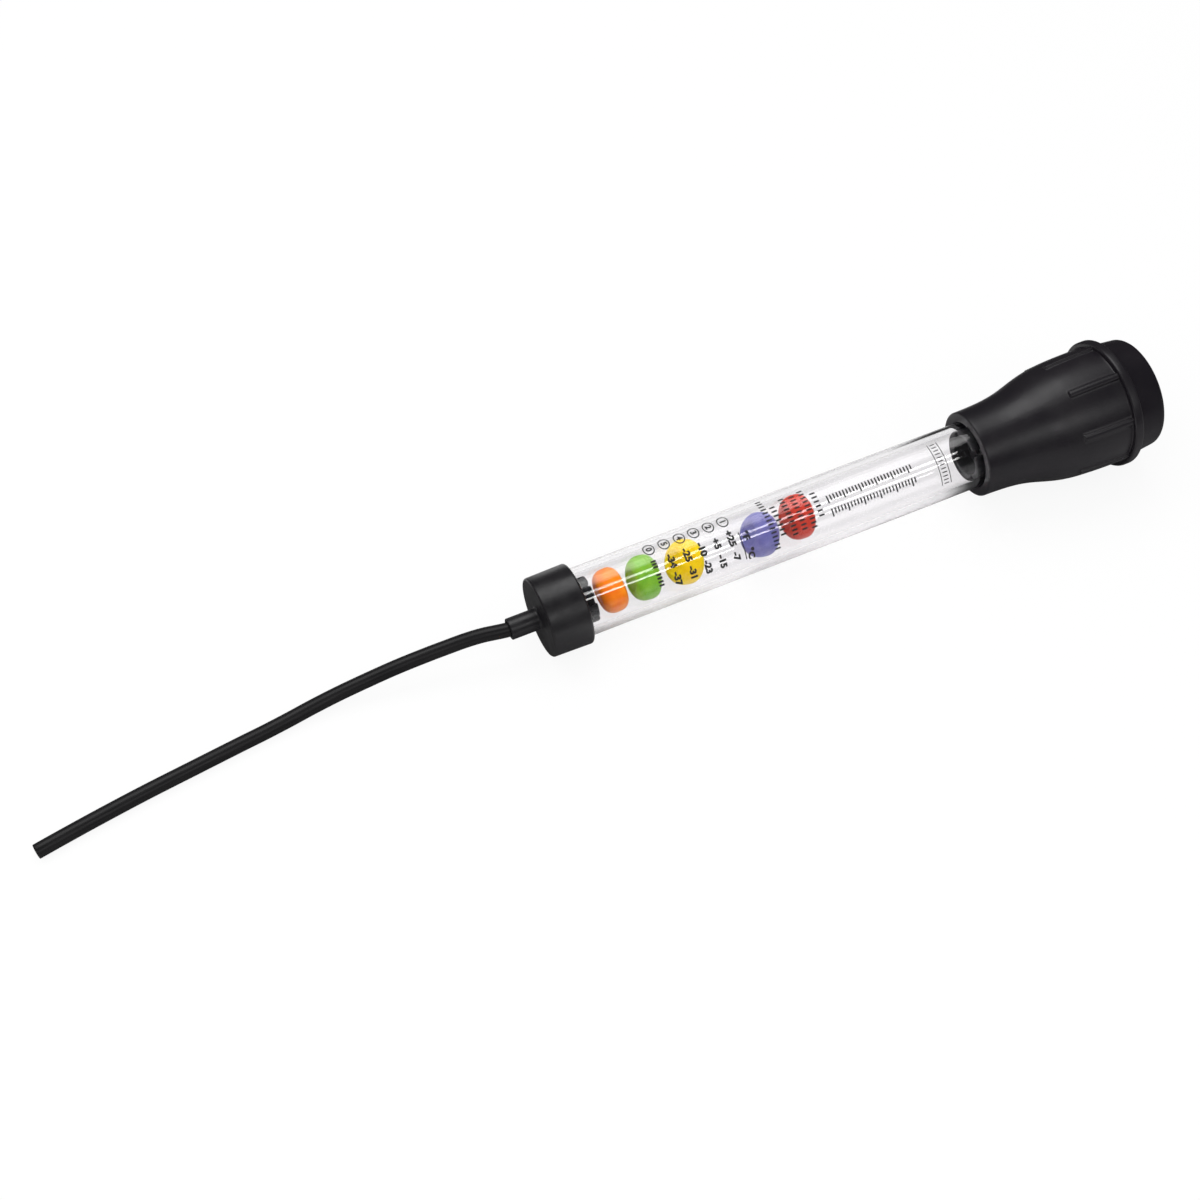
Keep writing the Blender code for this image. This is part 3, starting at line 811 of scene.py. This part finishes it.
squeeze_bulb = placed("squeeze_bulb_moulding", bulb_mesh("squeeze_bulb_moulding"))
squeeze_bulb.matrix_world = tester_axis
squeeze_bulb.data.materials.append(bulb_rubber("bulb_rubber", gloss=0.57))
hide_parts("squeeze_bulb")
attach(squeeze_bulb, "tester")

# Bulb end cap
# A cup of the same rubber, with a duller skin.
# Its skirt plugs into the back of the bulb and closes it.
tail_front = bulb_back + seat_gap
tail_length = 0.0121
tail_back = tail_front + tail_length
tail_step = 0.0006
tail_radius = shoulder_radius - tail_step
tail_taper = 0.0013
tail_end_radius = tail_radius - tail_taper
tail_front_edge = 0.0003
tail_edge = 0.0022
skirt_radius = cavity_radius - seat_gap
skirt_wall = 0.0024
skirt_depth = 0.0055
skirt_front = bulb_back - skirt_depth
skirt_edge = 0.0004
cup_edge = 0.002
end_cap_outline = softened(
    [
        (0, tail_back, 0),
        (tail_end_radius, tail_back, tail_edge),
        (tail_radius, tail_front, tail_front_edge),
        (skirt_radius, tail_front, 0),
        (skirt_radius, skirt_front, skirt_edge),
        (skirt_radius - skirt_wall, skirt_front, skirt_edge),
        (skirt_radius - skirt_wall, tail_back - bulb_wall, cup_edge),
        (0, tail_back - bulb_wall, 0),
    ]
)
bulb_end_cap = turned("bulb_end_cap_moulding", end_cap_outline, segments=128, closed=False)
bulb_end_cap.data.materials.append(bulb_rubber("end_cap_rubber", gloss=0.3))
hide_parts("bulb_end_cap")
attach(bulb_end_cap, "tester")

# Table
# A wide table covered in white paper. To the camera it is near white and keeps a faint shadow.
# In the gloss of the pieces it shows a studio's light and dark, painted into its colour, which draws their
# edges.
table_corner = 4.0
paper_white = 0.82
# Painted shadow: the paper's colour under the bulb, for rays that don't show it to the camera directly
paper_in_painted_shadow = 0.04
# Painted light: the paper's colour beside the barrel, as seen in gloss
painted_light_by_barrel = (0.7, 0.7, 0.7, 1)
paper_glow = 0.9
# Each change in the paper fades in between two places, along the tester or across it
painted_shadow_along = (0.050, 0.062)
painted_shadow_across = (0.062, 0.050)
painted_shadow_middle = 0.014
past_cap_along = (-0.103, -0.095)
to_bulb_along = (-0.01, 0.025)
# Painted glare: how bright the paper is painted for gloss, from the tester's near side to its far side
painted_glare_reach = 0.1
painted_glare_stops = ((0.30, 0.30), (0.45, 0.14), (0.65, 0.09), (0.72, 0.55), (0.83, 0.55), (0.93, 0.04))


def worked_out(look, operation, *values, **settings):
    """A value worked out from one or two others."""
    inputs = dict(enumerate(values))
    return add_node(look, "ShaderNodeMath", inputs, operation=operation, **settings).outputs["Value"]


def mixed(look, kind, share, first, second):
    """Two numbers or colours, mixed with this share of the second."""
    inputs = {"Factor": share, "A": first, "B": second}
    return add_node(look, "ShaderNodeMix", inputs, data_type=kind).outputs["Result"]


def seen_directly(look):
    """1 for rays that show a surface to the camera, bare or through the barrel, and the kinds of ray."""
    rays = add_node(look, "ShaderNodeLightPath").outputs
    bounces = worked_out(look, "ADD", rays["Glossy Depth"], rays["Diffuse Depth"])
    direct = worked_out(look, "LESS_THAN", bounces, 0.5)
    shown = worked_out(look, "MAXIMUM", rays["Is Camera Ray"], rays["Is Transmission Ray"])
    return worked_out(look, "MULTIPLY", direct, shown), rays


def table_finish():
    """White paper, with painted glare in gloss, a painted shadow under the bulb and its glow to the camera.
    """
    material, shader = new_finish("white_table", 0.9, {"Specular IOR Level": 0})
    seen, rays = seen_directly(material)
    place = add_node(material, "ShaderNodeSeparateXYZ", {"Vector": own_place(material)}).outputs
    across = ranged(material, place["Y"], -painted_glare_reach, painted_glare_reach)
    painted_glare = add_node(material, "ShaderNodeValToRGB", {"Fac": across})
    stops = painted_glare.color_ramp.elements
    for number, (position, level) in enumerate(painted_glare_stops):
        stop = stops[number] if number < 2 else stops.new(position)
        stop.position = position
        stop.color = (level, level, level, 1)
    # Painted shadow: the paper's colour is darkened under the bulb, except where the camera sees it
    # directly
    behind_neck = ranged(material, place["X"], *painted_shadow_along)
    off_middle = worked_out(material, "SUBTRACT", place["Y"], painted_shadow_middle)
    within_flange = ranged(material, worked_out(material, "ABSOLUTE", off_middle), *painted_shadow_across)
    painted_shadow_area = worked_out(material, "MULTIPLY", behind_neck, within_flange)
    painted_shadow_share = worked_out(material, "SUBTRACT", painted_shadow_area, seen, use_clamp=True)
    paper_with_painted_shadow = ranged(material, painted_shadow_share, 0.0, 1.0, paper_white, paper_in_painted_shadow)
    # Painted light beside the barrel: in gloss the paper there is an even pale grey in place of the painted
    # glare
    past_cap = ranged(material, place["X"], *past_cap_along)
    to_bulb = ranged(material, place["X"], *to_bulb_along)
    by_barrel = worked_out(material, "SUBTRACT", past_cap, to_bulb, use_clamp=True)
    painted_shine = mixed(material, "RGBA", by_barrel, painted_glare.outputs["Color"], painted_light_by_barrel)
    mirrored = worked_out(material, "SUBTRACT", rays["Is Glossy Ray"], rays["Is Transmission Ray"])
    links = material.node_tree.links
    links.new(mixed(material, "RGBA", mirrored, paper_with_painted_shadow, painted_shine), shader.inputs["Base Color"])
    glow = add_node(material, "ShaderNodeEmission", {"Color": (1, 1, 1, 1), "Strength": 1.0})
    share = worked_out(material, "MULTIPLY", seen, paper_glow)
    either = {"Fac": share, 1: shader.outputs["BSDF"], 2: glow.outputs["Emission"]}
    paper = add_node(material, "ShaderNodeMixShader", either).outputs["Shader"]
    links.new(paper, material.node_tree.nodes["Material Output"].inputs["Surface"])
    material.cycles.emission_sampling = "NONE"
    return material


corners = [(-1, -1), (1, -1), (1, 1), (-1, 1)]
table_mesh = bpy.data.meshes.new("table")
table_mesh.from_pydata([(x * table_corner, y * table_corner, 0) for x, y in corners], [], [(0, 1, 2, 3)])
table = placed("table", table_mesh)
table.data.materials.append(table_finish())
table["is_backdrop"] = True

# Room
# A pale room gives soft light from all round, and to the camera it is white.
# In gloss the room is dark. Through the clear walls it is pale at the sides and dark overhead.
room_light = 0.68
room_in_gloss = 0.06
room_at_sides = 0.95
room_overhead = 0.06
side_height = 0.1
overhead_height = 0.35


def studio_world():
    """The room's light, by the kind of ray that looks at it."""
    world = bpy.data.worlds.new("studio")
    world.use_nodes = True
    seen, rays = seen_directly(world)
    direction = add_node(world, "ShaderNodeTexCoord").outputs["Generated"]
    height = add_node(world, "ShaderNodeSeparateXYZ", {"Vector": direction}).outputs["Z"]
    walls = ranged(world, height, side_height, overhead_height, room_at_sides, room_overhead)
    undiffused = worked_out(world, "LESS_THAN", rays["Diffuse Depth"], 0.5)
    in_gloss = worked_out(world, "MULTIPLY", rays["Is Glossy Ray"], undiffused)
    through_clear = worked_out(world, "MULTIPLY", rays["Is Transmission Ray"], undiffused)
    strength = mixed(world, "FLOAT", in_gloss, room_light, room_in_gloss)
    strength = mixed(world, "FLOAT", through_clear, strength, walls)
    strength = mixed(world, "FLOAT", seen, strength, 1.0)
    background = world.node_tree.nodes["Background"]
    background.inputs["Color"].default_value = (1, 1, 1, 1)
    world.node_tree.links.new(strength, background.inputs["Strength"])
    return world


bpy.context.scene.world = studio_world()

# Lamps
# One soft box stands high and a little behind, one on the camera's side, and one lights the discs
# and the table. Two long tubes draw the thin bright lines on the barrel, and light nothing else.
barrel_way = tester_axis.to_3x3() @ Vector((0, 0, 1))
barrel_middle_station = 0.1
barrel_middle = tester_axis @ Vector((0, 0, barrel_middle_station))


def soft_box(name, place, aim, width, length, along, brightness):
    """A flat lamp of this even brightness, aimed at a place, with its long side along a direction."""
    lamp = bpy.data.lights.new(name, "AREA")
    lamp.shape = "RECTANGLE"
    lamp.size = length
    lamp.size_y = width
    lamp.energy = brightness * pi * width * length
    box = placed(name, lamp)
    back = (Vector(place) - Vector(aim)).normalized()
    side = (Vector(along) - back * Vector(along).dot(back)).normalized()
    turn = Matrix((side, back.cross(side), back)).transposed().to_4x4()
    box.matrix_world = Matrix.Translation(place) @ turn
    return box


def lamp_list(name, pieces, state="INCLUDE"):
    """The pieces that a lamp lights, or with EXCLUDE the only ones that it leaves out."""
    listed = bpy.data.collections.new(name)
    for piece in pieces:
        listed.objects.link(piece)
    for member in listed.collection_objects:
        member.light_linking.link_state = state
    return listed


discs_and_table = lamp_list("discs_and_table", [*discs, table])
barrel_alone = lamp_list("barrel_alone", [barrel])
all_but_strainer = lamp_list("all_but_strainer", [inlet_strainer, strainer_liner], "EXCLUDE")
barrel_and_plugs = [barrel, inlet_strainer, strainer_liner, float_stop]
all_but_those = lamp_list("all_but_barrel_and_plugs", barrel_and_plugs, "EXCLUDE")
end_box = soft_box(
    "end_box",
    place=(-0.66, -0.32, 0.82),
    aim=(-0.06, 0, 0.02),
    width=0.6,
    length=0.6,
    along=(0, 1, 0),
    brightness=3.0,
)
end_box.light_linking.receiver_collection = discs_and_table
# Each other lamp's angle round the barrel from straight down, its distance, width and length,
# its shift along the barrel from the middle, its brightness, and what it lights
lamp_table = (
    ("high_box", 156, 1.2, 0.75, 1.3, -0.03, 2.2, all_but_strainer),
    ("front_box", 228, 1.2, 0.4, 1.3, 0.12, 1.35, all_but_those),
    ("upper_tube", 195.5, 1.0, 0.1, 0.452, 0.278, 9.0, barrel_alone),
    ("lower_tube", 215.5, 1.0, 0.1, 0.452, 0.278, 9.0, barrel_alone),
)
for name, angle, distance, width, length, shift, brightness, lights_only in lamp_table:
    outward = tester_axis.to_3x3() @ Vector((cos(radians(angle)), sin(radians(angle)), 0))
    aim = barrel_middle + barrel_way * shift
    lamp = soft_box(name, aim + outward * distance, aim, width, length, barrel_way, brightness)
    lamp.light_linking.receiver_collection = lights_only

low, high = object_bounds()
